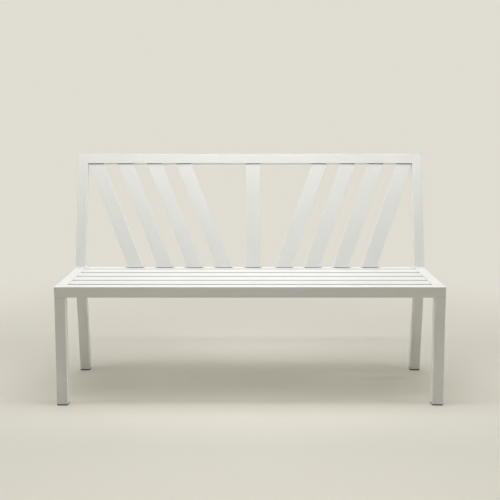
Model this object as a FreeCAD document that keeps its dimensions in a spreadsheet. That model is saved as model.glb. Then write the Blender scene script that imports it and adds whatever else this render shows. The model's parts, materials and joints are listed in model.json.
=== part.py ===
"""Garden bench of powder-coated aluminium tube, in millimetres: +X to the right, +Y to the back, +Z up.

The origin is on the floor, under the middle of the bench's bounding box. The seat is a welded frame of four
rails that carries four slats; the legs and the back slide on spigots and are locked by screws. Each sub-part
is one object.
"""

import FreeCAD, Part
import math
import os
import re

import Sketcher
from FreeCAD import Placement, Rotation, Vector

# ---------------------------------------------------------------- driving dimensions

SIZES = {
    # the whole bench
    "overall_width": (1444, "outside of the left legs to outside of the right legs"),
    "overall_height": (920, "floor to the top of the post caps"),
    "seat_height": (450, "floor to the seat"),
    "seat_depth": (470, "front of the front rail to back of the rear rail"),
    "back_recline": (15.5, "angle of the back from upright"),
    "leg_rake": (9, "angle of the rear legs from upright"),
    # frame tubes
    "leg_tube": (40, "side of the square leg tube, also the width of posts and side rails"),
    "rail_depth": (50, "front and rear rail, front to back"),
    "rail_height": (40, "front, rear and side rails, top to bottom"),
    "post_depth": (30, "post and top rail, front to back"),
    "top_rail_height": (40, "top rail, along the back"),
    "tube_wall": (2, "wall of the frame tubes"),
    "tube_radius": (1.5, "outside corner radius of the frame tubes"),
    # seat
    "seat_slat_gap": (11.6, "between seat slats and beside them"),
    "seat_slat_thickness": (20, "seat slat, top to bottom"),
    "slat_wall": (1.5, "wall of slats and bearers"),
    "slat_radius": (1, "outside corner radius of the slats"),
    "slat_plug_flange": (2, "end plug's flange beyond the seat slat"),
    "bearer_width": (30, "cross bearer, side to side"),
    "bearer_spacing": (454, "between the middles of the two cross bearers"),
    "ledge_width": (25, "end ledge, flange under the slats"),
    "ledge_thickness": (2, "end ledge, both flanges"),
    # back slats
    "back_slat_width": (58, "back slat, across its face"),
    "back_slat_thickness": (20, "back slat, front to back"),
    "slat_end_gap": (2, "between a back slat's end and its rail, bridged by the slat's plug"),
    "left_lean": (21.8, "lean of the left slats from the upright"),
    "right_lean": (19.3, "lean of the right slats from the upright"),
    "post_gap": (2, "between a post and the top corner of the slat beside it"),
    "left_centre_gap": (56, "between the foot of the innermost left slat and the upright slat"),
    "right_centre_gap": (65, "between the foot of the innermost right slat and the upright slat"),
    "upright_offset": (12.5, "upright slat's middle, to the right of the bench's middle"),
    # joints
    "fit_clearance": (0.2, "between a spigot, plug or tongue and the tube or slot around it"),
    "leg_spigot_length": (60, "spigot below the seat frame"),
    "post_spigot_length": (75, "spigot above the seat, along the back"),
    "socket_flange": (5, "bevelled foot of the post socket, high and wide"),
    "end_block_length": (15, "block in each end of the top rail"),
    "tongue_width": (28, "slat plug's tongue, side to side"),
    "tongue_thickness": (10, "slat plug's tongue, front to back"),
    "tongue_reach": (10, "tongue beyond the end of its slat"),
    "plug_length": (25, "plug inside its tube"),
    "plug_rib": (1.5, "one rib of a plug, along the tube"),
    "plug_core_step": (1.2, "from a plug's ribs down to its core"),
    "plug_face": (2.5, "flush face of a rail's end plug"),
    # feet and caps
    "glide_thickness": (5, "foot glide under the leg tube"),
    "cap_thickness": (4.5, "post cap above the post tube"),
    # screws
    "frame_screw_diameter": (8, "screws that lock the legs and posts"),
    "frame_screw_length": (20, "under the head"),
    "frame_screw_edge": (30, "from the joint to its screw"),
    "frame_head_diameter": (14, "button head, at its foot"),
    "frame_head_crown": (9, "button head, at its top"),
    "frame_head_height": (4.4, "button head"),
    "frame_socket_width": (5, "hexagon socket across flats"),
    "frame_socket_depth": (2.8, "hexagon socket"),
    "bolt_diameter": (6, "top rail bolts"),
    "bolt_head_diameter": (12, "countersunk head"),
    "bolt_socket_width": (4, "hexagon socket across flats"),
    "bolt_socket_depth": (2, "hexagon socket"),
    "screw_clearance": (0.4, "on the diameter of a hole that a screw passes"),
    "thread_clearance": (0.1, "on the diameter of a threaded hole or a countersink"),
}

SEAT_SLATS = 4
SIDE_SLATS = 4  # back slats on each side of the upright one
PLUG_RIBS = 2

# Sizes that follow from the driving ones. Formulas name sizes by their aliases.
DERIVED = {
    "half_width": "overall_width / 2",
    "half_span": "half_width - leg_tube",
    "frame_underside": "seat_height - rail_height",
    "side_rail_length": "seat_depth - 2 * rail_depth",
    "seat_slat_width": f"(side_rail_length - {SEAT_SLATS + 1} * seat_slat_gap) / {SEAT_SLATS}",
    "seat_slat_underside": "seat_height - seat_slat_thickness",
    "bearer_height": "rail_height - seat_slat_thickness",
    "back_length": "(overall_height - seat_height) / cos(back_recline)",
    "post_top": "back_length - cap_thickness",
    "top_rail_underside": "post_top - top_rail_height",
    "post_front": "seat_depth - post_depth / cos(back_recline)",
    "overall_depth": "post_front + (overall_height - seat_height) * tan(back_recline)"
    " + post_depth * cos(back_recline)",
    "front": "-overall_depth / 2",
    "slat_recess": "(post_depth - back_slat_thickness) / 2",
    "left_half_cut": "back_slat_width / 2 / cos(left_lean)",
    "right_half_cut": "back_slat_width / 2 / cos(right_lean)",
    "left_outer_foot": "-half_span + post_gap + left_half_cut + top_rail_underside * tan(left_lean)",
    "left_inner_foot": "upright_offset - back_slat_width / 2 - left_centre_gap - left_half_cut",
    "right_outer_foot": "half_span - post_gap - right_half_cut - top_rail_underside * tan(right_lean)",
    "right_inner_foot": "upright_offset + back_slat_width / 2 + right_centre_gap + right_half_cut",
    "bolt_height": "top_rail_underside + top_rail_height / 2",
    "bolt_head_height": "(bolt_head_diameter - bolt_diameter) / 2",
    "screw_hole": "frame_screw_diameter + screw_clearance",
    "thread_hole": "frame_screw_diameter + thread_clearance",
    "thread_depth": "frame_screw_length + frame_screw_diameter / 3",
    "leg_rise": "frame_underside - glide_thickness",
    "post_foot": "(socket_flange + post_depth * sin(back_recline)) / cos(back_recline)",
    "post_screw": "post_foot + frame_screw_edge",
    "cap_plug_length": "top_rail_height / 2 - bolt_diameter / 2 - plug_rib",
}

doc = FreeCAD.newDocument("garden_bench")
sheet = doc.addObject("Spreadsheet::Sheet", "Dimensions")
for row, (alias, (number, note)) in enumerate(SIZES.items(), start=1):
    sheet.set(f"A{row}", alias)
    sheet.set(f"B{row}", str(number))
    sheet.setAlias(f"B{row}", alias)
    sheet.set(f"C{row}", note)
doc.recompute()


def formula(text):
    """The expression for a formula: driving sizes become cells, and derived sizes are written out."""

    def spell_out(match):
        word = match.group(0)
        if word in DERIVED:
            return f"({formula(DERIVED[word])})"
        return f"Dimensions.{word}" if word in SIZES else word

    return re.sub(r"[a-z_]+", spell_out, text)


def value(text):
    """The number a formula comes to now, as a first position for what is bound to it."""
    result = sheet.evalExpression(formula(text))
    return float(getattr(result, "Value", result))


# ---------------------------------------------------------------- building blocks


def place(item, x="0", y="0", z="0", turn="0"):
    """Binds an object's place; turn is an angle about the X axis."""
    item.Placement = Placement(Vector(), Rotation(Vector(1, 0, 0), 1))
    for axis, text in zip("xyz", (x, y, z)):
        item.setExpression(f"Placement.Base.{axis}", formula(text))
    item.setExpression("Placement.Rotation.Angle", formula(turn))


def new_body(name, x="0", y="0", z="0", turn="0"):
    """A body with its own label and place. Its y is measured from the bench's front."""
    body = doc.addObject("PartDesign::Body", name)
    body.Label = name
    place(body, x, f"front + {y}", z, turn)
    return body


def back_body(name):
    """A body in the back's own frame: y from the posts' front face, z along the back from the seat."""
    return new_body(name, y="post_front", z="seat_height", turn="-back_recline")


def new_sketch(body, plane, offset="0"):
    """A sketch on one of the body's own origin planes, moved along the plane's normal."""
    sketch = body.newObject("Sketcher::SketchObject", "Sketch")
    origin_plane = next(item for item in body.Origin.OriginFeatures if item.Role == plane)
    sketch.AttachmentSupport = [(origin_plane, "")]
    sketch.MapMode = "FlatFace"
    sketch.setExpression("AttachmentOffset.Base.z", formula(offset))
    return sketch


def dimension(sketch, constraints, sizes):
    """Adds plain constraints, then dimensions, given as (constraint, formula), bound to their formulas."""
    sketch.addConstraint(constraints)
    numbers = sketch.addConstraint([constraint for constraint, _ in sizes])
    for number, (_, text) in zip(numbers, sizes):
        sketch.setExpression(f"Constraints[{number}]", formula(text))


def from_origin(geometry, point, x, y):
    """Dimensions of one point of a sketch from the sketch's origin."""
    return [
        (Sketcher.Constraint("DistanceX", -1, 1, geometry, point, value(x)), x),
        (Sketcher.Constraint("DistanceY", -1, 1, geometry, point, value(y)), y),
    ]


def draw_polygon(sketch, corners):
    """A closed polygon with every corner dimensioned from the sketch's origin."""
    spots = [Vector(value(x), value(y), 0) for x, y in corners]
    sides = [
        sketch.addGeometry(Part.LineSegment(spot, spots[(i + 1) % len(spots)]))
        for i, spot in enumerate(spots)
    ]
    joins = [
        Sketcher.Constraint("Coincident", side, 2, sides[(i + 1) % len(sides)], 1)
        for i, side in enumerate(sides)
    ]
    sizes = []
    for side, (x, y) in zip(sides, corners):
        sizes += from_origin(side, 1, x, y)
    dimension(sketch, joins, sizes)


def draw_rectangle(sketch, left, bottom, width, height):
    """A sharp-cornered rectangle."""
    right = f"({left}) + {width}"
    top = f"({bottom}) + {height}"
    draw_polygon(sketch, [(left, bottom), (right, bottom), (right, top), (left, top)])


def draw_rounded(sketch, left, bottom, width, height, radius):
    """A rectangle with four equal round corners."""
    x0, y0, r = value(left), value(bottom), value(radius)
    x1, y1 = x0 + value(width), y0 + value(height)
    ends = [
        ((x0 + r, y0), (x1 - r, y0)),
        ((x1, y0 + r), (x1, y1 - r)),
        ((x1 - r, y1), (x0 + r, y1)),
        ((x0, y1 - r), (x0, y0 + r)),
    ]
    lines = [sketch.addGeometry(Part.LineSegment(Vector(*a, 0), Vector(*b, 0))) for a, b in ends]
    centres = [(x1 - r, y0 + r), (x1 - r, y1 - r), (x0 + r, y1 - r), (x0 + r, y0 + r)]
    arcs = []
    for quarter, centre in enumerate(centres, start=-1):
        circle = Part.Circle(Vector(*centre, 0), Vector(0, 0, 1), r)
        start = quarter * math.pi / 2
        arcs.append(sketch.addGeometry(Part.ArcOfCircle(circle, start, start + math.pi / 2)))
    constraints = []
    for i, arc in enumerate(arcs):
        constraints.append(Sketcher.Constraint("Tangent", lines[i], 2, arc, 1))
        constraints.append(Sketcher.Constraint("Tangent", arc, 2, lines[(i + 1) % 4], 1))
        constraints.append(Sketcher.Constraint("Vertical" if i % 2 else "Horizontal", lines[i]))
    for arc in arcs[1:]:
        constraints.append(Sketcher.Constraint("Equal", arcs[0], arc))
    bottom_line, right_line, top_line, left_line = lines
    sizes = [
        (Sketcher.Constraint("Radius", arcs[0], r), radius),
        (Sketcher.Constraint("DistanceX", -1, 1, left_line, 1, x0), left),
        (Sketcher.Constraint("DistanceY", -1, 1, bottom_line, 1, y0), bottom),
        (Sketcher.Constraint("DistanceX", left_line, 1, right_line, 1, x1 - x0), width),
        (Sketcher.Constraint("DistanceY", bottom_line, 1, top_line, 1, y1 - y0), height),
    ]
    dimension(sketch, constraints, sizes)


def draw_circle(sketch, x, y, diameter):
    """A circle, dimensioned by its middle and its diameter."""
    circle = Part.Circle(Vector(value(x), value(y), 0), Vector(0, 0, 1), value(diameter) / 2)
    index = sketch.addGeometry(circle)
    size = (Sketcher.Constraint("Diameter", index, value(diameter)), diameter)
    dimension(sketch, [], [size, *from_origin(index, 3, x, y)])


def pad(body, sketch, length, slope_x="0", slope_y="0", up=True):
    """Pads a sketch to a height along its plane's normal, leaning by the two slopes."""
    feature = body.newObject("PartDesign::Pad", "Pad")
    feature.Profile = sketch
    feature.setExpression("Length", formula(length))
    feature.UseCustomVector = True
    feature.AlongSketchNormal = True
    feature.Direction = Vector(0, 0, 1 if up else -1)
    feature.setExpression("Direction.x", formula(slope_x))
    feature.setExpression("Direction.y", formula(slope_y))
    return feature


def extrude(body, sketch, length, reverse=False):
    """Pads a sketch straight along its own normal."""
    feature = body.newObject("PartDesign::Pad", "Pad")
    feature.Profile = sketch
    feature.setExpression("Length", formula(length))
    feature.Reversed = reverse
    return feature


def pocket(body, sketch, length=None, reverse=False):
    """Cuts a sketch to a depth, or both ways right through."""
    feature = body.newObject("PartDesign::Pocket", "Pocket")
    feature.Profile = sketch
    feature.Reversed = reverse
    if length is None:
        feature.Type = "ThroughAll"
        feature.Midplane = True
    else:
        feature.setExpression("Length", formula(length))
    return feature


def draw_clipped(sketch, left, bottom, width, height, cut):
    """A rectangle with its corners cut off."""
    right = f"({left}) + {width}"
    top = f"({bottom}) + {height}"
    corners = [
        (f"({left}) + {cut}", bottom),
        (f"{right} - {cut}", bottom),
        (right, f"({bottom}) + {cut}"),
        (right, f"{top} - {cut}"),
        (f"{right} - {cut}", top),
        (f"({left}) + {cut}", top),
        (left, f"{top} - {cut}"),
        (left, f"({bottom}) + {cut}"),
    ]
    draw_polygon(sketch, corners)


def draw_tube(sketch, section, wall_x, wall_y, radius):
    """The two outlines of a tube's section, given as (left, bottom, width, height)."""
    draw_rounded(sketch, *section, radius)
    draw_rectangle(sketch, *inset(section, wall_x, wall_y))


def inset(section, x_step, y_step):
    """A section (left, bottom, width, height) with its edges moved inwards."""
    left, bottom, width, height = section
    return (
        f"({left}) + {x_step}",
        f"({bottom}) + {y_step}",
        f"{width} - 2 * {x_step}",
        f"{height} - 2 * {y_step}",
    )


def drill(body, x, y, z, turn, diameter, length):
    """Cuts a cylinder that starts at a point and runs along the body's +Z, turned about X."""
    hole = body.newObject("PartDesign::SubtractiveCylinder", "Hole")
    hole.setExpression("Radius", formula(f"({diameter}) / 2"))
    hole.setExpression("Height", formula(length))
    place(hole, x, y, z, turn)


def foot_cut(body, lift="0"):
    """Cuts a body in the back's frame off level, at a height above the seat."""
    front, rear = "-tube_wall", "post_depth + tube_wall"
    below = "-back_slat_width"
    corners = [(front, below), (rear, below)]
    for y in (rear, front):
        corners.append((y, f"({lift} + ({y}) * sin(back_recline)) / cos(back_recline)"))
    sketch = new_sketch(body, "YZ_Plane")
    draw_polygon(sketch, corners)
    pocket(body, sketch)


def add_plug(body, plane, start, sections, length, forward=True, slope_y=None):
    """A plug's core and ribs, inside tubes whose inner sections are given at the starting plane."""
    steps = [("fit_clearance + plug_core_step", start, length)]
    for rib in range(PLUG_RIBS):
        gap = f"{2 * rib + 1} * plug_rib"
        rib_start = f"{start} + {gap}" if forward else f"{start} - {gap}"
        steps.append(("fit_clearance", rib_start, "plug_rib"))
    for step, plane_start, thickness in steps:
        sketch = new_sketch(body, plane, plane_start)
        for section in sections:
            left, bottom, width, height = inset(section, f"({step})", f"({step})")
            if slope_y:
                bottom = f"{bottom} + ({plane_start} - ({start})) * {slope_y}"
            draw_rectangle(sketch, left, bottom, width, height)
        if slope_y:
            pad(body, sketch, thickness, slope_y=slope_y)
        else:
            extrude(body, sketch, thickness, reverse=not forward)


# ---------------------------------------------------------------- seat frame

SIDES = {"left": "-half_width", "right": "half_span"}  # where the tube of each side begins


class BackSlat:
    """Names and formulas of one back slat: its foot on the seat, and how it leans going up."""

    def __init__(self, group, number, foot, lean, slope):
        self.group = group
        self.name = f"back_slat_{group}_{number}" if number else f"back_slat_{group}"
        self.foot = f"({foot})"
        self.lean = lean
        self.slope = slope
        self.head = f"({foot} + top_rail_underside * {slope})"


def back_slats():
    """The slats from left to right: each side's feet are spread evenly from its outer to its inner one."""
    steps = SIDE_SLATS - 1
    slats = []
    for i in range(SIDE_SLATS):
        foot = f"left_outer_foot + {i} / {steps} * (left_inner_foot - left_outer_foot)"
        slats.append(BackSlat("left", i + 1, foot, "left_lean", "(-tan(left_lean))"))
    slats.append(BackSlat("upright", 0, "upright_offset", "0", "0"))
    for i in range(SIDE_SLATS):
        foot = f"right_inner_foot + {i} / {steps} * (right_outer_foot - right_inner_foot)"
        slats.append(BackSlat("right", i + 1, foot, "right_lean", "tan(right_lean)"))
    return slats


def cross_rail(name, y):
    """A flat tube over the full width."""
    body = new_body(name, y=y, z="frame_underside")
    sketch = new_sketch(body, "YZ_Plane", "-half_width")
    draw_tube(sketch, ("0", "0", "rail_depth", "rail_height"), "tube_wall", "tube_wall", "tube_radius")
    extrude(body, sketch, "overall_width")
    return body


def rear_rail():
    """The rear rail, with a slot in its top wall for the tongue of every back slat."""
    body = cross_rail("rear_rail", "seat_depth - rail_depth")
    sketch = new_sketch(body, "XY_Plane", "rail_height")
    middle = "post_front + post_depth / 2 / cos(back_recline) - seat_depth + rail_depth"
    depth = "(tongue_thickness * cos(back_recline) + 2 * fit_clearance)"
    width = "(tongue_width + 2 * fit_clearance)"
    for slat in back_slats():
        draw_rectangle(sketch, f"{slat.foot} - {width} / 2", f"{middle} - {depth} / 2", width, depth)
    pocket(body, sketch, "2 * tube_wall")


def side_rail(side):
    """A square tube between the front and the rear rail."""
    body = new_body(f"side_rail_{side}", y="rail_depth", z="frame_underside")
    sketch = new_sketch(body, "XZ_Plane")
    section = (SIDES[side], "0", "leg_tube", "rail_height")
    draw_tube(sketch, section, "tube_wall", "tube_wall", "tube_radius")
    extrude(body, sketch, "side_rail_length", reverse=True)


def rail_end_plugs():
    """Plugs that close the front and the rear rail, with their faces flush with the rail ends."""
    body = new_body("rail_end_plugs", z="frame_underside")
    inside = [
        inset((y, "0", "rail_depth", "rail_height"), "tube_wall", "tube_wall")
        for y in ("0", "seat_depth - rail_depth")
    ]
    for start, forward in (("-half_width", True), ("half_width", False)):
        face = new_sketch(body, "YZ_Plane", start)
        for section in inside:
            draw_rectangle(face, *section)
        extrude(body, face, "plug_face", reverse=not forward)
        shank_start = f"{start} + plug_face" if forward else f"{start} - plug_face"
        add_plug(body, "YZ_Plane", shank_start, inside, "plug_length", forward)


# ---------------------------------------------------------------- legs

# The rear top edge of each pair of legs, and its rake.
LEG_PAIRS = {"front": ("leg_tube", "0"), "rear": ("seat_depth", "leg_rake")}


def leg_section(side, rake, rise):
    """A leg's outer section at a height above its foot, measured from its rear top edge."""
    depth = f"leg_tube / cos({rake})"
    return SIDES[side], f"(leg_rise - {rise}) * tan({rake}) - {depth}", "leg_tube", depth


def leg_screw_spot(rake, outward):
    """Where a leg's screw crosses its rear face, from the rear top edge, moved outwards by a distance."""
    y = f"frame_screw_edge * sin({rake}) + {outward} * cos({rake})"
    z = f"{outward} * sin({rake}) - frame_screw_edge * cos({rake})"
    return y, z


def leg(pair, side):
    """A square tube from the seat frame down to its glide, cut off level at both ends."""
    joint, rake = LEG_PAIRS[pair]
    body = new_body(f"{pair}_leg_{side}", y=joint, z="glide_thickness")
    sketch = new_sketch(body, "XY_Plane")
    draw_tube(sketch, leg_section(side, rake, "0"), "tube_wall", f"tube_wall / cos({rake})", "tube_radius")
    pad(body, sketch, "leg_rise", slope_y=f"(-tan({rake}))")
    y, z = leg_screw_spot(rake, "tube_wall")
    middle = f"{SIDES[side]} + leg_tube / 2"
    drill(body, middle, y, f"leg_rise + {z}", f"90 + {rake}", "screw_hole", "3 * tube_wall")


def leg_spigots(pair):
    """The blocks under the seat frame that the pair's legs slide on."""
    joint, rake = LEG_PAIRS[pair]
    body = new_body(f"{pair}_leg_spigots", y=joint, z="frame_underside")
    sketch = new_sketch(body, "XY_Plane")
    step = "(tube_wall + fit_clearance)"
    for side in SIDES:
        draw_rectangle(sketch, *inset(leg_section(side, rake, "leg_rise"), step, f"{step} / cos({rake})"))
    pad(body, sketch, "leg_spigot_length", slope_y=f"tan({rake})", up=False)
    y, z = leg_screw_spot(rake, "tube_wall")
    for left in SIDES.values():
        drill(body, f"{left} + leg_tube / 2", y, z, f"90 + {rake}", "thread_hole", "thread_depth + tube_wall")


def foot_glides(pair):
    """Plastic feet: a sole under the tube and a ribbed plug inside it."""
    joint, rake = LEG_PAIRS[pair]
    body = new_body(f"{pair}_foot_glides", y=joint)
    sole = new_sketch(body, "XY_Plane")
    for side in SIDES:
        draw_clipped(sole, *leg_section(side, rake, "0"), "tube_radius")
    extrude(body, sole, "glide_thickness")
    inside = [
        inset(leg_section(side, rake, "0"), "tube_wall", f"tube_wall / cos({rake})")
        for side in SIDES
    ]
    add_plug(body, "XY_Plane", "glide_thickness", inside, "plug_length", slope_y=f"(-tan({rake}))")


# ---------------------------------------------------------------- seat


def slat_front(number):
    """The front of a seat slat; slats are numbered from 0 at the front."""
    return f"(rail_depth + seat_slat_gap + {number} * (seat_slat_width + seat_slat_gap))"


def seat_slat(number):
    """A flat tube along the seat."""
    body = new_body(f"seat_slat_{number + 1}", y=slat_front(number), z="seat_slat_underside")
    sketch = new_sketch(body, "YZ_Plane", "-half_span + slat_plug_flange")
    section = ("0", "0", "seat_slat_width", "seat_slat_thickness")
    draw_tube(sketch, section, "slat_wall", "slat_wall", "slat_radius")
    extrude(body, sketch, "2 * (half_span - slat_plug_flange)")


def seat_slat_plugs():
    """End plugs of the seat slats: a flange against the side rail and a ribbed shank."""
    body = new_body("seat_slat_plugs", z="seat_slat_underside")
    outside = [(slat_front(i), "0", "seat_slat_width", "seat_slat_thickness") for i in range(SEAT_SLATS)]
    inside = [inset(section, "slat_wall", "slat_wall") for section in outside]
    for start, forward in (("-half_span", True), ("half_span", False)):
        flange = new_sketch(body, "YZ_Plane", start)
        for section in outside:
            draw_clipped(flange, *section, "slat_radius")
        extrude(body, flange, "slat_plug_flange", reverse=not forward)
        shank_start = f"{start} + slat_plug_flange" if forward else f"{start} - slat_plug_flange"
        add_plug(body, "YZ_Plane", shank_start, inside, "plug_length", forward)


def cross_bearer(side, middle):
    """A tube under the slats from the front to the rear rail."""
    body = new_body(f"cross_bearer_{side}", y="rail_depth", z="frame_underside")
    sketch = new_sketch(body, "XZ_Plane")
    section = (f"{middle} - bearer_width / 2", "0", "bearer_width", "bearer_height")
    draw_rectangle(sketch, *section)
    draw_rectangle(sketch, *inset(section, "slat_wall", "slat_wall"))
    extrude(body, sketch, "side_rail_length", reverse=True)


def end_ledge(side, sign):
    """An angle on the side rail that carries the slat ends."""
    body = new_body(f"end_ledge_{side}", y="rail_depth", z="frame_underside")
    wall = f"{sign} * half_span"
    tip = f"{sign} * (half_span - ledge_width)"
    inner = f"{sign} * (half_span - ledge_thickness)"
    under = "bearer_height - ledge_thickness"
    profile = new_sketch(body, "XZ_Plane")
    corners = [
        (wall, "0"),
        (wall, "bearer_height"),
        (tip, "bearer_height"),
        (tip, under),
        (inner, under),
        (inner, "0"),
    ]
    draw_polygon(profile, corners)
    extrude(body, profile, "side_rail_length", reverse=True)


# ---------------------------------------------------------------- back


def back_post(side):
    """A reclined tube: level at its foot, screwed to its socket from behind and bolted to the top rail."""
    body = back_body(f"back_post_{side}")
    sketch = new_sketch(body, "XY_Plane")
    section = (SIDES[side], "0", "leg_tube", "post_depth")
    draw_tube(sketch, section, "tube_wall", "tube_wall", "tube_radius")
    extrude(body, sketch, "post_top")
    foot_cut(body, "socket_flange")
    middle = f"{SIDES[side]} + leg_tube / 2"
    drill(body, middle, "post_depth + tube_wall", "post_screw", "90", "screw_hole", "3 * tube_wall")
    outer_face, inwards = ("-half_width", True) if side == "left" else ("half_width", False)
    bore = new_sketch(body, "YZ_Plane", outer_face)
    draw_circle(bore, "post_depth / 2", "bolt_height", "bolt_diameter + screw_clearance")
    pocket(body, bore, "leg_tube", reverse=inwards)
    seat = new_sketch(body, "YZ_Plane", outer_face)
    draw_circle(seat, "post_depth / 2", "bolt_height", "bolt_head_diameter + thread_clearance")
    countersink = pocket(body, seat, "bolt_head_height", reverse=inwards)
    countersink.TaperAngle = -45


def post_socket(side):
    """A bevelled foot welded to the rear rail, with the spigot that its post slides on."""
    body = new_body(f"post_socket_{side}", y="post_front", z="seat_height")
    left = SIDES[side]
    foot_left = left if side == "left" else f"{left} - socket_flange"
    lean = "tan(back_recline)"
    depth = "post_depth / cos(back_recline)"
    front_edge = f"socket_flange * {lean}"
    foot_front = f"{front_edge} - socket_flange"
    foot = new_sketch(body, "XY_Plane")
    draw_rectangle(foot, foot_left, foot_front, "leg_tube + socket_flange", f"{depth} - ({foot_front})")
    top = new_sketch(body, "XY_Plane", "socket_flange")
    draw_rectangle(top, left, front_edge, "leg_tube", depth)
    loft = body.newObject("PartDesign::AdditiveLoft", "Loft")
    loft.Profile = foot
    loft.Sections = [top]
    loft.Ruled = True
    spigot = new_sketch(body, "XY_Plane", "socket_flange")
    step = "(tube_wall + fit_clearance)"
    section = inset((left, front_edge, "leg_tube", depth), step, f"{step} / cos(back_recline)")
    draw_rectangle(spigot, *section)
    pad(body, spigot, "post_spigot_length * cos(back_recline)", slope_y=lean)
    across = "(post_depth + tube_wall)"
    y = f"{across} * cos(back_recline) + (post_screw) * sin(back_recline)"
    z = f"(post_screw) * cos(back_recline) - {across} * sin(back_recline)"
    middle = f"{left} + leg_tube / 2"
    drill(body, middle, y, z, "90 - back_recline", "thread_hole", "thread_depth + tube_wall")


def post_caps():
    """Caps that close the posts: a plate over the tube and a short ribbed plug inside it."""
    body = back_body("post_caps")
    plate = new_sketch(body, "XY_Plane", "post_top")
    outside = [(left, "0", "leg_tube", "post_depth") for left in SIDES.values()]
    for section in outside:
        draw_clipped(plate, *section, "tube_radius")
    extrude(body, plate, "cap_thickness")
    inside = [inset(section, "tube_wall", "tube_wall") for section in outside]
    add_plug(body, "XY_Plane", "post_top", inside, "cap_plug_length", forward=False)


def back_top_rail():
    """The tube between the posts, with a slot in its underside for the tongue of every back slat."""
    body = back_body("back_top_rail")
    sketch = new_sketch(body, "YZ_Plane", "-half_span")
    section = ("0", "top_rail_underside", "post_depth", "top_rail_height")
    draw_tube(sketch, section, "tube_wall", "tube_wall", "tube_radius")
    extrude(body, sketch, "2 * half_span")
    slots = new_sketch(body, "XY_Plane", "top_rail_underside")
    width = "(tongue_width + 2 * fit_clearance)"
    depth = "(tongue_thickness + 2 * fit_clearance)"
    for slat in back_slats():
        draw_rectangle(slots, f"{slat.head} - {width} / 2", f"(post_depth - {depth}) / 2", width, depth)
    pocket(body, slots, "2 * tube_wall", reverse=True)


def top_rail_blocks():
    """The threaded blocks in the ends of the top rail."""
    body = back_body("top_rail_blocks")
    step = "(tube_wall + fit_clearance)"
    section = inset(("0", "top_rail_underside", "post_depth", "top_rail_height"), step, step)
    for start, forward in (("-half_span", True), ("half_span", False)):
        sketch = new_sketch(body, "YZ_Plane", start)
        draw_rectangle(sketch, *section)
        extrude(body, sketch, "end_block_length", reverse=not forward)
    hole = new_sketch(body, "YZ_Plane")
    draw_circle(hole, "post_depth / 2", "bolt_height", "bolt_diameter + thread_clearance")
    pocket(body, hole)


def back_slat(slat):
    """A flat tube that leans in the plane of the back, cut off level just short of both rails."""
    body = back_body(slat.name)
    sketch = new_sketch(body, "XY_Plane")
    overrun = "(back_slat_width / 2)"
    sketch.AttachmentOffset = Placement(Vector(), Rotation(Vector(0, 1, 0), 1))
    sketch.setExpression("AttachmentOffset.Rotation.Angle", formula(f"atan({slat.slope})"))
    sketch.setExpression("AttachmentOffset.Base.x", formula(f"{slat.foot} - {overrun} * {slat.slope}"))
    sketch.setExpression("AttachmentOffset.Base.z", formula(f"-{overrun}"))
    section = ("-back_slat_width / 2", "slat_recess", "back_slat_width", "back_slat_thickness")
    draw_tube(sketch, section, "slat_wall", "slat_wall", "slat_radius")
    extrude(body, sketch, f"(top_rail_underside + 2 * {overrun}) / cos({slat.lean})")
    foot_cut(body, "slat_end_gap")
    above = new_sketch(body, "YZ_Plane")
    head = "top_rail_underside - slat_end_gap"
    draw_rectangle(above, "0", head, "post_depth", "2 * back_slat_width")
    pocket(body, above)


def slat_shanks(body, plane_start, middles, slats, up):
    """Plug shanks of one group. Each fills its slat from front to back and bridges the gap to the rail."""
    sketch = new_sketch(body, "XY_Plane", plane_start)
    lean = slats[0].lean
    width = f"back_slat_width / cos({lean})"
    step = f"(slat_wall + fit_clearance) / cos({lean})"
    for middle in middles:
        outside = (f"{middle} - {width} / 2", "slat_recess", width, "back_slat_thickness")
        draw_rectangle(sketch, *inset(outside, step, "slat_wall"))
    slope = slats[0].slope if up else f"(-1 * {slats[0].slope})"
    pad(body, sketch, "plug_length", slope_x=slope, up=up)


def draw_tongues(sketch, middles, middle_y):
    """The sections of the tongues of one group of slat plugs."""
    for middle in middles:
        left, bottom = f"{middle} - tongue_width / 2", f"{middle_y} - tongue_thickness / 2"
        draw_rectangle(sketch, left, bottom, "tongue_width", "tongue_thickness")


def slat_foot_plugs(group):
    """Plugs in the slat feet of one group, whose tongues go straight down into the rear rail."""
    body = back_body(f"{group}_slat_foot_plugs")
    slats = [slat for slat in back_slats() if slat.group == group]
    feet = [slat.foot for slat in slats]
    slat_shanks(body, "0", feet, slats, up=True)
    foot_cut(body)
    root = "(plug_length / 2)"
    lean = "tan(back_recline)"
    tongue = new_sketch(body, "XY_Plane", root)
    draw_tongues(tongue, feet, f"(post_depth / 2 - ({root} - post_depth / 2 * {lean}) * {lean})")
    pad(body, tongue, f"{root} + tongue_reach", slope_y=lean, up=False)


def slat_head_plugs(group):
    """Plugs in the slat heads of one group, whose tongues go up into the top rail."""
    body = back_body(f"{group}_slat_head_plugs")
    slats = [slat for slat in back_slats() if slat.group == group]
    heads = [slat.head for slat in slats]
    slat_shanks(body, "top_rail_underside", heads, slats, up=False)
    root = "(plug_length / 2)"
    tongue = new_sketch(body, "XY_Plane", f"top_rail_underside - {root}")
    draw_tongues(tongue, heads, "post_depth / 2")
    extrude(body, tongue, f"{root} + tongue_reach")


# ---------------------------------------------------------------- screws


def turned(outline):
    """The solid that an outline of (radius, height) points makes round the Z axis."""
    points = [Vector(radius, 0, height) for radius, height in [*outline, outline[0]]]
    return Part.Face(Part.makePolygon(points)).revolve(Vector(), Vector(0, 0, 1), 360)


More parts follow.
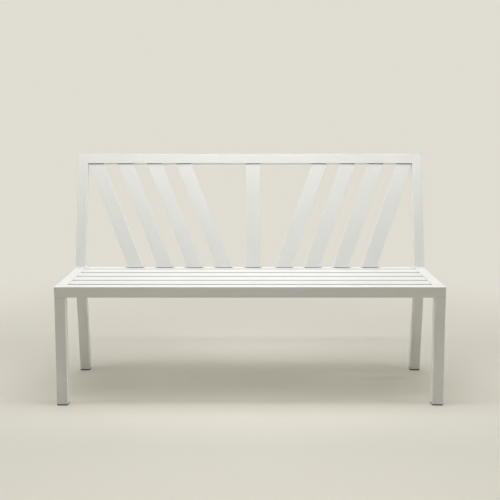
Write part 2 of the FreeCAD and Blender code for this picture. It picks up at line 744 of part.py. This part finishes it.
def hexagon_prism(across_flats, bottom, top):
    """An upright hexagonal prism round the Z axis."""
    radius = across_flats / math.sqrt(3)
    turns = [i * math.pi / 3 for i in range(7)]
    corners = [Vector(radius * math.cos(turn), radius * math.sin(turn), bottom) for turn in turns]
    return Part.Face(Part.makePolygon(corners)).extrude(Vector(0, 0, top - bottom))


def frame_screw():
    """The button-head screw of the legs and posts. Its head sits on the XY plane."""
    shank, length = value("frame_screw_diameter / 2"), value("frame_screw_length")
    head, crown, height = (
        value(size) for size in ("frame_head_diameter / 2", "frame_head_crown / 2", "frame_head_height")
    )
    outline = [(0, -length), (shank, -length), (shank, 0), (head, 0), (crown, height), (0, height)]
    socket = hexagon_prism(value("frame_socket_width"), height - value("frame_socket_depth"), height)
    return turned(outline).cut(socket)


def rail_bolt():
    """The countersunk bolt of the top rail. The top of its head lies on the XY plane."""
    shank, length = value("bolt_diameter / 2"), value("leg_tube + end_block_length")
    head, height = value("bolt_head_diameter / 2"), value("bolt_head_height")
    outline = [(0, 0), (head, 0), (shank, -height), (shank, -length), (0, -length)]
    socket = hexagon_prism(value("bolt_socket_width"), -value("bolt_socket_depth"), 0)
    return turned(outline).cut(socket)


def screw_group(name, master, places):
    """One object that holds copies of a screw. Places are measured from the bench's front."""
    group = doc.addObject("Part::Feature", name)
    group.Label = name
    copies = []
    for spot in places:
        copy = master.copy()
        copy.Placement = spot
        copies.append(copy)
    group.Shape = Part.makeCompound(copies)
    group.Placement = Placement(Vector(0, value("front"), 0), Rotation())


def about_x(angle):
    """A turn about the X axis, in degrees."""
    return Rotation(Vector(1, 0, 0), angle)


def side_middles():
    """The middles of the left and the right legs and posts."""
    return [value(f"{left} + leg_tube / 2") for left in SIDES.values()]


def leg_screws():
    """A screw through the rear wall of every leg."""
    places = []
    for joint, rake in LEG_PAIRS.values():
        y, z = leg_screw_spot(rake, "0")
        for x in side_middles():
            spot = Vector(x, value(f"{joint} + {y}"), value(f"frame_underside + {z}"))
            places.append(Placement(spot, about_x(value(f"{rake} - 90"))))
    screw_group("leg_screws", frame_screw(), places)


def back_placement():
    """The back's frame, measured from the bench's front."""
    origin = Vector(0, value("post_front"), value("seat_height"))
    return Placement(origin, about_x(-value("back_recline")))


def post_screws():
    """A screw through the rear wall of each post."""
    places = []
    for x in side_middles():
        spot = Placement(Vector(x, value("post_depth"), value("post_screw")), about_x(-90))
        places.append(back_placement().multiply(spot))
    screw_group("post_screws", frame_screw(), places)


def top_rail_bolts():
    """A bolt through each post into the block of the top rail."""
    places = []
    for sign in (-1, 1):
        head = Vector(sign * value("half_width"), value("post_depth / 2"), value("bolt_height"))
        spot = Placement(head, Rotation(Vector(0, 1, 0), sign * 90))
        places.append(back_placement().multiply(spot))
    screw_group("top_rail_bolts", rail_bolt(), places)


# ---------------------------------------------------------------- the bench


def build():
    """Makes every sub-part."""
    cross_rail("front_rail", "0")
    rear_rail()
    for side in SIDES:
        side_rail(side)
    rail_end_plugs()
    for pair in LEG_PAIRS:
        for side in SIDES:
            leg(pair, side)
        leg_spigots(pair)
        foot_glides(pair)
    for number in range(SEAT_SLATS):
        seat_slat(number)
    seat_slat_plugs()
    cross_bearer("left", "(-bearer_spacing / 2)")
    cross_bearer("right", "(bearer_spacing / 2)")
    end_ledge("left", -1)
    end_ledge("right", 1)
    for side in SIDES:
        back_post(side)
        post_socket(side)
    post_caps()
    back_top_rail()
    top_rail_blocks()
    for slat in back_slats():
        back_slat(slat)
    for group in ("left", "upright", "right"):
        slat_foot_plugs(group)
        slat_head_plugs(group)
    leg_screws()
    post_screws()
    top_rail_bolts()
    doc.recompute()


def sub_parts():
    """The objects that are sub-parts: the bodies and the screw groups."""
    return [item for item in doc.Objects if item.TypeId in ("PartDesign::Body", "Part::Feature")]


def check():
    """Stops if an object failed or a sub-part has no sound shape."""
    for item in doc.Objects:
        if {"Invalid", "Error"} & set(item.State):
            raise RuntimeError(f"{item.Name} of {item.Label} failed: {item.State}")
    for part in sub_parts():
        if part.Shape.isNull() or not part.Shape.isValid() or not part.Shape.Solids:
            raise RuntimeError(f"{part.Label} has no sound shape")


def write():
    """Writes each sub-part to its own file."""
    os.makedirs("parts", exist_ok=True)
    for part in sub_parts():
        part.Shape.exportStep(f"parts/{part.Label}.step")
        print(f"{part.Label}: {len(part.Shape.Solids)} solids, {part.Shape.Volume / 1000:.1f} cm3")


build()
check()
write()
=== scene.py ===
"""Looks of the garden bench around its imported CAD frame, in metres: +X right, +Y back, +Z up."""

import json
import math

import bmesh
import bpy
from mathutils import Matrix, Vector


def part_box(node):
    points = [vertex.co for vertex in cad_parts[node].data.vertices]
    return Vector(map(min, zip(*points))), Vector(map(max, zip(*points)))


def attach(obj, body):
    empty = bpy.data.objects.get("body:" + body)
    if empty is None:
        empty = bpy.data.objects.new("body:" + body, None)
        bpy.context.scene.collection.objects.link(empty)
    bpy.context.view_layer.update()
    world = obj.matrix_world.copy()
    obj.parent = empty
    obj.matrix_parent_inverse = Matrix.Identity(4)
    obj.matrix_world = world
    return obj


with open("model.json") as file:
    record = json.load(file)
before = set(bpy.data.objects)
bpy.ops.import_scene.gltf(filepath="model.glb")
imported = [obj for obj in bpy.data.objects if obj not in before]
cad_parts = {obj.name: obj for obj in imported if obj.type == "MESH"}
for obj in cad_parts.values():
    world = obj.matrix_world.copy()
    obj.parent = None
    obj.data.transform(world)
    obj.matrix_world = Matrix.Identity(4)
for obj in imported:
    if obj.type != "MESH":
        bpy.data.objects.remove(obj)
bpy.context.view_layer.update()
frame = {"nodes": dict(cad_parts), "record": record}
scene = bpy.context.scene
nodes = frame["nodes"]
MM = 0.001


# ---------------------------------------------------------------- materials


class Shader:
    """A material's node tree, with short calls to add and join nodes."""

    def __init__(self, name):
        self.material = bpy.data.materials.new(name)
        self.material.use_nodes = True
        self.tree = self.material.node_tree
        self.bsdf = self.tree.nodes["Principled BSDF"]
        self.place = self.add("ShaderNodeTexCoord").outputs["Object"]

    def add(self, kind, inputs=None, **settings):
        node = self.tree.nodes.new(kind)
        for key, value in settings.items():
            setattr(node, key, value)
        for key, value in (inputs or {}).items():
            self.set(node.inputs[key], value)
        return node

    def set(self, socket, value):
        if isinstance(value, bpy.types.NodeSocket):
            self.tree.links.new(value, socket)
        else:
            socket.default_value = value

    def maths(self, operation, first, second):
        return self.add("ShaderNodeMath", {0: first, 1: second}, operation=operation).outputs[0]

    def noise(self, scale, detail=2.0, roughness=0.5, vector=None):
        inputs = {"Vector": vector or self.place, "Scale": scale, "Detail": detail, "Roughness": roughness}
        return self.add("ShaderNodeTexNoise", inputs).outputs["Fac"]

    def stretched(self, scale):
        """The place on the object, scaled by axis, for a pattern that runs in one direction."""
        return self.add("ShaderNodeMapping", {"Vector": self.place, "Scale": scale}).outputs["Vector"]

    def remap(self, value, low, high, from_low=0.3, from_high=0.7):
        """Moves a value from one range to another. By default it comes from where a noise mostly lies."""
        inputs = {"Value": value, "From Min": from_low, "From Max": from_high, "To Min": low, "To Max": high}
        return self.add("ShaderNodeMapRange", inputs).outputs["Result"]

    def fade(self, value, start, end):
        """0 at the start, rising smoothly to 1 at the end."""
        inputs = {"Value": value, "From Min": start, "From Max": end}
        return self.add("ShaderNodeMapRange", inputs, interpolation_type="SMOOTHSTEP").outputs["Result"]

    def blend(self, factor, first, second):
        """The first colour where the factor is 0 and the second where it is 1."""
        mix = self.add("ShaderNodeMix", data_type="RGBA")
        for socket, value in zip((mix.inputs[0], mix.inputs[6], mix.inputs[7]), (factor, first, second)):
            self.set(socket, value)
        return mix.outputs[2]

    def bump(self, height, strength, distance, normal=None):
        inputs = {"Height": height, "Strength": strength, "Distance": distance}
        if normal:
            inputs["Normal"] = normal
        return self.add("ShaderNodeBump", inputs).outputs["Normal"]

    def finish(self, **inputs):
        """Sets sockets of the Principled BSDF, named with underscores, and gives the material."""
        for key, value in inputs.items():
            self.set(self.bsdf.inputs[key.replace("_", " ")], value)
        return self.material


def srgb(red, green, blue):
    """A linear colour from sRGB values between 0 and 1."""
    return (*(c / 12.92 if c <= 0.04045 else ((c + 0.055) / 1.055) ** 2.4 for c in (red, green, blue)), 1.0)


PAINTED_SHADE_REACH = 15 * MM  # how near another face lies where a gap is darkened with painted shade
PAINTED_SHADE_GREY = srgb(0.44, 0.43, 0.40)
WHITE_IN_GAP, WHITE_IN_OPEN = 0.55, 0.99  # the coat's share of the colour beside the painted shade grey, in a closed gap and in the open


def powder_coat(name, painted_gap_shade=False):
    """Satin white powder coat: orange peel, a fine grain in it and faint clouds in colour and gloss.

    With painted gap shade it is greyer near other faces: painted shade for the narrow gaps, which soft lamps
    don't give.
    """
    s = Shader(name)
    clouds = s.remap(s.noise(scale=2.6, detail=3.0), 0.0, 1.0)
    colour = s.blend(clouds, srgb(0.955, 0.955, 0.945), srgb(0.972, 0.972, 0.966))
    specks = s.remap(s.noise(scale=2400.0, detail=1.0), 0.0, 0.35, 0.55, 0.80)
    colour = s.blend(specks, colour, srgb(0.935, 0.935, 0.925))
    if painted_gap_shade:
        # painted shade: grey mixed in where other faces are near, as in the gaps between seat slats and
        # rails
        openness = s.add("ShaderNodeAmbientOcclusion", {"Distance": PAINTED_SHADE_REACH}, samples=8).outputs["AO"]
        white_share = s.remap(openness, 0.0, 1.0, WHITE_IN_GAP, WHITE_IN_OPEN)
        colour = s.blend(white_share, PAINTED_SHADE_GREY, colour)
    peel = s.bump(s.noise(scale=620.0, roughness=0.45), strength=0.30, distance=0.2 * MM)
    grain = s.bump(s.noise(scale=3600.0, detail=1.0), strength=0.10, distance=0.04 * MM, normal=peel)
    gloss = s.remap(s.noise(scale=55.0, detail=3.0), 0.40, 0.50)
    return s.finish(Base_Color=colour, Roughness=gloss, Normal=grain, IOR=1.5)


def moulded_plastic(name, light, dark, roughness):
    """Matte moulded plastic with a fine spark-eroded grain."""
    s = Shader(name)
    colour = s.blend(s.remap(s.noise(scale=90.0, detail=3.0), 0.0, 1.0), light, dark)
    grain = s.bump(s.noise(scale=2600.0, detail=3.0, roughness=0.6), strength=0.25, distance=0.08 * MM)
    gloss = s.remap(s.noise(scale=700.0), roughness - 0.06, roughness + 0.06)
    return s.finish(Base_Color=colour, Roughness=gloss, Normal=grain)


def stainless_steel():
    """Stainless steel with fine scratches and a slightly uneven gloss."""
    s = Shader("stainless_steel")
    lines = s.noise(scale=420.0, detail=4.0, roughness=0.6, vector=s.stretched((1.0, 1.0, 14.0)))
    colour = s.blend(s.remap(lines, 0.0, 1.0), srgb(0.70, 0.70, 0.69), srgb(0.80, 0.80, 0.79))
    scratches = s.bump(lines, strength=0.15, distance=0.05 * MM)
    gloss = s.remap(s.noise(scale=260.0, detail=3.0), 0.24, 0.38)
    return s.finish(Base_Color=colour, Metallic=1.0, Roughness=gloss, Normal=scratches)


def mill_aluminium():
    """Bare extruded aluminium, with fine lines and dull spots."""
    s = Shader("mill_aluminium")
    lines = s.noise(scale=300.0, detail=4.0, roughness=0.6, vector=s.stretched((9.0, 1.0, 1.0)))
    colour = s.blend(s.remap(lines, 0.0, 1.0), srgb(0.76, 0.77, 0.78), srgb(0.84, 0.85, 0.86))
    scratches = s.bump(lines, strength=0.2, distance=0.06 * MM)
    gloss = s.remap(s.noise(scale=35.0, detail=3.0), 0.36, 0.55)
    return s.finish(Base_Color=colour, Metallic=1.0, Roughness=gloss, Normal=scratches)


SLOTS = {
    "powder_coated_aluminium": powder_coat("powder_coat"),
    "plain_aluminium": mill_aluminium(),
    "stainless_steel": stainless_steel(),
    "white_plastic": moulded_plastic(
        "white_plastic", srgb(0.95, 0.95, 0.94), srgb(0.92, 0.92, 0.91), roughness=0.5
    ),
    "grey_plastic": moulded_plastic(
        "grey_plastic", srgb(0.46, 0.46, 0.45), srgb(0.41, 0.41, 0.40), roughness=0.58
    ),
}


# ---------------------------------------------------------------- the CAD nodes

SEAT_FRAME = ("front_rail", "rear_rail", "side_rail_left", "side_rail_right")
SEAT_SLATS = ("seat_slat_1", "seat_slat_2", "seat_slat_3", "seat_slat_4")
ROUNDING = {
    "powder_coated_aluminium": 0.3 * MM,
    "plain_aluminium": 0.3 * MM,
    "stainless_steel": 0.5 * MM,
    "white_plastic": 0.5 * MM,
    "grey_plastic": 0.8 * MM,
}
SAME_POINT = 0.01 * MM
SHARP = math.radians(35)  # an edge that turns more than this is rounded


def modifier(piece, kind, **settings):
    made = piece.modifiers.new(kind.title(), kind)
    for key, value in settings.items():
        setattr(made, key, value)


def soften(piece, width):
    """Joins a mesh's loose faces and rounds its sharp edges by a small radius."""
    modifier(piece, "WELD", merge_threshold=SAME_POINT)
    modifier(piece, "BEVEL", width=width, segments=2, limit_method="ANGLE", angle_limit=SHARP)
    modifier(piece, "WEIGHTED_NORMAL", keep_sharp=False)
    for face in piece.data.polygons:
        face.use_smooth = True


finish_of = {part["node"]: part["material_slot"] for part in frame["record"]["subparts"]}
# the seat frame and slats take the coat with painted shade in their gaps
seat_coat_with_painted_shade = powder_coat("powder_coat_seat_painted_shade", painted_gap_shade=True)

for name, node in nodes.items():
    of_seat = name in SEAT_FRAME or name in SEAT_SLATS
    node.data.materials.clear()
    node.data.materials.append(seat_coat_with_painted_shade if of_seat else SLOTS[finish_of[name]])
    if name not in SEAT_FRAME:  # the seat frame keeps the edges that the CAD gives it
        soften(node, ROUNDING[finish_of[name]])


# ---------------------------------------------------------------- welds and slat screws

X, Y, Z = Vector((1, 0, 0)), Vector((0, 1, 0)), Vector((0, 0, 1))
front_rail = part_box("front_rail")
rear_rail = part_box("rear_rail")
side_rails = {-1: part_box("side_rail_left"), 1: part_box("side_rail_right")}
bearers = {-1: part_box("cross_bearer_left"), 1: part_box("cross_bearer_right")}
ledges = {-1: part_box("end_ledge_left"), 1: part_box("end_ledge_right")}

CORNER_BEAD, BEARER_BEAD, STITCH_BEAD = 3 * MM, 2.6 * MM, 2.2 * MM  # the leg of each fillet weld
RIPPLE_PITCH, STEPS_IN_RIPPLE = 2.6 * MM, 4
RIPPLE_HEIGHT = 0.10  # as a share of the bead
THIN_END = 0.35  # a bead's ends, as a share of its leg
TAPERED_STEPS = 3  # over which a bead swells at its start and thins at its end
BEAD_FACES = 5  # round the bead, from one wall to the other
ABOVE_UNDERSIDE, BELOW_TOP = 2 * MM, 3 * MM  # where a corner bead ends, from the rails' edges
INSIDE_BEARER = 1 * MM  # where a bearer's bead ends, from its edges
STITCHES, STITCH_LENGTH = 3, 36 * MM
FIRST_STITCH, STITCH_STEP = 0.12, 0.33  # as shares of the ledge's length
LEDGE_THICKNESS = 2 * MM  # as in the CAD


def add_piece(name, mesh_builder, slot):
    """A mesh-code piece that rides on the bench and takes one of the record's slots."""
    mesh = bpy.data.meshes.new(name)
    bm = bmesh.new()
    mesh_builder(bm)
    bmesh.ops.recalc_face_normals(bm, faces=bm.faces)
    bm.to_mesh(mesh)
    bm.free()
    mesh.materials.append(SLOTS[slot])
    for face in mesh.polygons:
        face.use_smooth = True
    piece = bpy.data.objects.new(name, mesh)
    scene.collection.objects.link(piece)
    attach(piece, "root")


def loft(bm, rings):
    """Faces between rings of as many points each, closed at both ends."""
    loops = [[bm.verts.new(point) for point in ring] for ring in rings]
    count = len(loops[0])
    for below, above in zip(loops, loops[1:]):
        for i in range(count):
            bm.faces.new((below[i], below[(i + 1) % count], above[(i + 1) % count], above[i]))
    bm.faces.new(loops[0][::-1])
    bm.faces.new(loops[-1])


def weld_bead(bm, start, end, side_a, side_b, leg):
    """A rippled fillet weld along a corner between two faces, whose directions from it are given."""
    along = end - start
    steps = max(2 * TAPERED_STEPS, round(along.length / RIPPLE_PITCH * STEPS_IN_RIPPLE))
    rings = []
    for step in range(steps + 1):
        share = step / steps
        phase = share * along.length / RIPPLE_PITCH
        ripple = 1.0 + RIPPLE_HEIGHT * abs(math.sin(math.pi * phase))
        to_nearer_end = min(share, 1 - share)
        taper = 1.0
        if to_nearer_end < TAPERED_STEPS / steps:
            taper = math.sin(math.pi * to_nearer_end * steps / (2 * TAPERED_STEPS))
        size = leg * (THIN_END + (1 - THIN_END) * taper) * ripple
        middle = start + along * share
        ring = [middle]
        for i in range(BEAD_FACES + 1):
            turn = i / BEAD_FACES * math.pi / 2
            bulge = size * (0.74 + 0.30 * abs(math.cos(2 * turn)))  # nearly flat between its two feet
            ring.append(middle + (side_a * math.cos(turn) + side_b * math.sin(turn)) * bulge)
        rings.append(ring)
    loft(bm, rings)


def frame_welds(bm):
    """Beads in the seat frame's inner corners and up both sides of each bearer's ends."""
    joints = ((front_rail[1].y, Y), (rear_rail[0].y, -Y))
    underside, top = front_rail[0].z, front_rail[1].z
    for y, inwards in joints:
        for side, (low, high) in side_rails.items():
            corner = Vector((high.x if side < 0 else low.x, y, 0))
            start, end = corner + Z * (underside + ABOVE_UNDERSIDE), corner + Z * (top - BELOW_TOP)
            weld_bead(bm, start, end, X * -side, inwards, CORNER_BEAD)
        for low, high in bearers.values():
            for x, outwards in ((low.x, -X), (high.x, X)):
                start = Vector((x, y, low.z + INSIDE_BEARER))
                end = start + Z * (high.z - low.z - 2 * INSIDE_BEARER)
                weld_bead(bm, start, end, outwards, inwards, BEARER_BEAD)


def ledge_welds(bm):
    """Stitches between the end ledges and the side rails, along the ledges' lower edges."""
    for side, (low, high) in ledges.items():
        wall = low.x if side < 0 else high.x
        inner = wall - side * LEDGE_THICKNESS
        for i in range(STITCHES):
            y = low.y + (high.y - low.y) * (FIRST_STITCH + STITCH_STEP * i)
            start = Vector((inner, y, low.z))
            down = -Z * 0.4 + X * side * 0.1
            weld_bead(bm, start, start + Y * STITCH_LENGTH, down, X * side, STITCH_BEAD)


def pan_screw(bm, place, axis, radius=4.8 * MM, height=2.8 * MM, socket=1.7 * MM):
    """A pan-head screw with a hexagon socket. Its head stands on a point and faces along an axis."""
    head = Matrix.Translation(place) @ axis.to_track_quat("Z", "Y").to_matrix().to_4x4()
    count = 36
    sixth = math.pi / 3

    def ring(size, share_of_height, hexagon=False):
        points = []
        for i in range(count):
            turn = 2 * math.pi * i / count
            from_flat = turn % sixth - sixth / 2  # the angle from the middle of the hexagon's side
            r = size * math.cos(sixth / 2) / math.cos(from_flat) if hexagon else size
            points.append(head @ Vector((r * math.cos(turn), r * math.sin(turn), height * share_of_height)))
        return points

    # shares of the radius and of the height, from the rim to the top and then down into the socket
    dome = ((1.0, 0.0), (1.02, 0.25), (0.97, 0.55), (0.84, 0.82), (0.66, 0.97), (0.50, 1.0))
    recess = ((1.06, 1.0), (1.0, 0.98), (1.0, 0.35))
    rings = [ring(radius * across, up) for across, up in dome]
    rings += [ring(socket * across, up, hexagon=True) for across, up in recess]
    rings.append(ring(socket * 0.4, 0.30))
    loft(bm, rings)


def slat_screws(bm):
    """A screw under every crossing of a seat slat and a bearer or ledge."""
    spots = [((low.x + high.x) / 2, low.z) for low, high in bearers.values()]
    flange_bottom = ledges[1][1].z - LEDGE_THICKNESS
    spots += [((low.x + high.x) / 2, flange_bottom) for low, high in ledges.values()]
    for name in SEAT_SLATS:
        low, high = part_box(name)
        for x, z in spots:
            pan_screw(bm, Vector((x, (low.y + high.y) / 2, z)), -Z)


add_piece("frame_welds", frame_welds, "powder_coated_aluminium")
add_piece("ledge_welds", ledge_welds, "powder_coated_aluminium")
add_piece("slat_screws", slat_screws, "stainless_steel")


# ---------------------------------------------------------------- stage

FLOOR_FRONT, FLOOR_BACK, SWEEP, WALL_TOP, HALF_WIDTH = -8.0, 3.2, 1.6, 6.0, 8.0
SWEEP_STEPS = 32
PAPER = srgb(0.935, 0.922, 0.885)
STUDIO_WHITE = srgb(0.88, 0.865, 0.825)  # the plain colour of the studio round the bench
LIT_PAPER, PLAIN_PAPER = 0.8, 3.0  # distances from the bench's middle: the lit paper fades out between them


def stage_mesh():
    """One seamless sheet: floor, sweep and wall."""
    profile = [(FLOOR_FRONT, 0.0)]
    for i in range(SWEEP_STEPS + 1):
        turn = i / SWEEP_STEPS * math.pi / 2
        profile.append((FLOOR_BACK + SWEEP * math.sin(turn), SWEEP * (1 - math.cos(turn))))
    profile.append((FLOOR_BACK + SWEEP, WALL_TOP))
    bm = bmesh.new()
    rows = [[bm.verts.new((x, y, z)) for x in (-HALF_WIDTH, HALF_WIDTH)] for y, z in profile]
    for near, far in zip(rows, rows[1:]):
        bm.faces.new((near[0], near[1], far[1], far[0]))
    mesh = bpy.data.meshes.new("stage")
    bm.to_mesh(mesh)
    bm.free()
    for face in mesh.polygons:
        face.use_smooth = True
    return mesh


def stage_paper():
    """Plain warm white paper: lit and shadowed round the bench, and one even colour away from it."""
    s = Shader("stage_paper")
    s.finish(Base_Color=PAPER, Roughness=0.9, Specular_IOR_Level=0.1)
    away = s.add("ShaderNodeVectorMath", {0: s.place}, operation="LENGTH").outputs["Value"]
    paths = s.add("ShaderNodeLightPath").outputs
    seen = s.maths("MAXIMUM", paths["Is Camera Ray"], paths["Is Glossy Ray"])
    seen = s.maths("MAXIMUM", seen, paths["Is Transmission Ray"])
    plain_share = s.maths("MULTIPLY", seen, s.fade(away, LIT_PAPER, PLAIN_PAPER))
    plain = s.add("ShaderNodeEmission", {"Color": STUDIO_WHITE}).outputs[0]
    sheet = s.add("ShaderNodeMixShader", {0: plain_share, 1: s.bsdf.outputs[0], 2: plain}).outputs[0]
    s.set(s.tree.nodes["Material Output"].inputs["Surface"], sheet)
    return s.material


stage = bpy.data.objects.new("stage", stage_mesh())
stage.data.materials.append(stage_paper())
scene.collection.objects.link(stage)


# ---------------------------------------------------------------- light and camera

PALE_BLUE, WARM = (0.955, 0.98, 1.0), (1.0, 0.97, 0.945)
WARM_FLOOR, WARM_SIDE = (1.0, 0.98, 0.93), (1.0, 0.97, 0.90)
CREAM_FLOOR, CREAM_SIDE = (1.0, 0.965, 0.81), (1.0, 0.98, 0.80)


def area_light(name, place, target, size, power, colour):
    """A rectangular lamp that the camera doesn't see, with its power in watts."""
    data = bpy.data.lights.new(name, "AREA")
    data.shape = "RECTANGLE"
    data.size, data.size_y = size
    data.energy = power
    data.color = colour
    light = bpy.data.objects.new(name, data)
    light.location = place
    light.visible_camera = False
    light.rotation_euler = (Vector(target) - Vector(place)).to_track_quat("-Z", "Y").to_euler()
    scene.collection.objects.link(light)
    return light


def lamp_above(name, y, height, size, power, colour):
    """A lamp over the middle of the bench's width that shines straight down."""
    return area_light(name, (0, y, height), (0, y, 0), size, power, colour)


lamp_above("overhead", y=0, height=2.2, size=(3.4, 0.5), power=14.2, colour=PALE_BLUE)
lamp_above("overhead_strip", y=-0.4, height=2.2, size=(2.4, 0.2), power=13.1, colour=PALE_BLUE)
lamp_above("overhead_front", y=-0.85, height=2.2, size=(2.0, 0.8), power=13.9, colour=WARM)
floor_front = lamp_above("floor_front", y=-2.4, height=1.9, size=(3.4, 1.0), power=11.5, colour=CREAM_FLOOR)
floor_front.data.spread = math.radians(80)
lamp_above("floor_back", y=2.4, height=2.4, size=(3.0, 1.2), power=26.5, colour=WARM_FLOOR)
for x in (-2.6, 2.6):
    area_light("side_front", (x, -0.6, 1.6), (0, 0, 0.6), size=(1.5, 1.5), power=9.3, colour=CREAM_SIDE)
    area_light("side_back", (x, 2.4, 0.9), (0, 0, 0.4), size=(1.6, 1.4), power=20.2, colour=WARM_SIDE)

world = bpy.data.worlds.new("studio")
scene.world = world
world.use_nodes = True
background = world.node_tree.nodes["Background"]
background.inputs["Color"].default_value = STUDIO_WHITE
ray = world.node_tree.nodes.new("ShaderNodeLightPath")
world.node_tree.links.new(ray.outputs["Is Camera Ray"], background.inputs["Strength"])

# the photograph's viewing angle
CAMERA_PLACE = (0.0, -3.7183, 1.0775)
DEGREES_DOWN = 7.452
LENS_MM, SENSOR_MM = 67.916, 36.0
SHIFT_Y = -0.0229  # as a share of the picture's width
FAR_CLIP = 60.0

camera_data = bpy.data.cameras.new("camera")
camera_data.lens = LENS_MM
camera_data.sensor_width = SENSOR_MM
camera_data.shift_y = SHIFT_Y
camera_data.clip_end = FAR_CLIP
camera = bpy.data.objects.new("camera", camera_data)
camera.location = CAMERA_PLACE
camera.rotation_euler = (math.radians(90 - DEGREES_DOWN), 0.0, 0.0)
scene.collection.objects.link(camera)
scene.camera = camera
scene.view_settings.view_transform = "Standard"
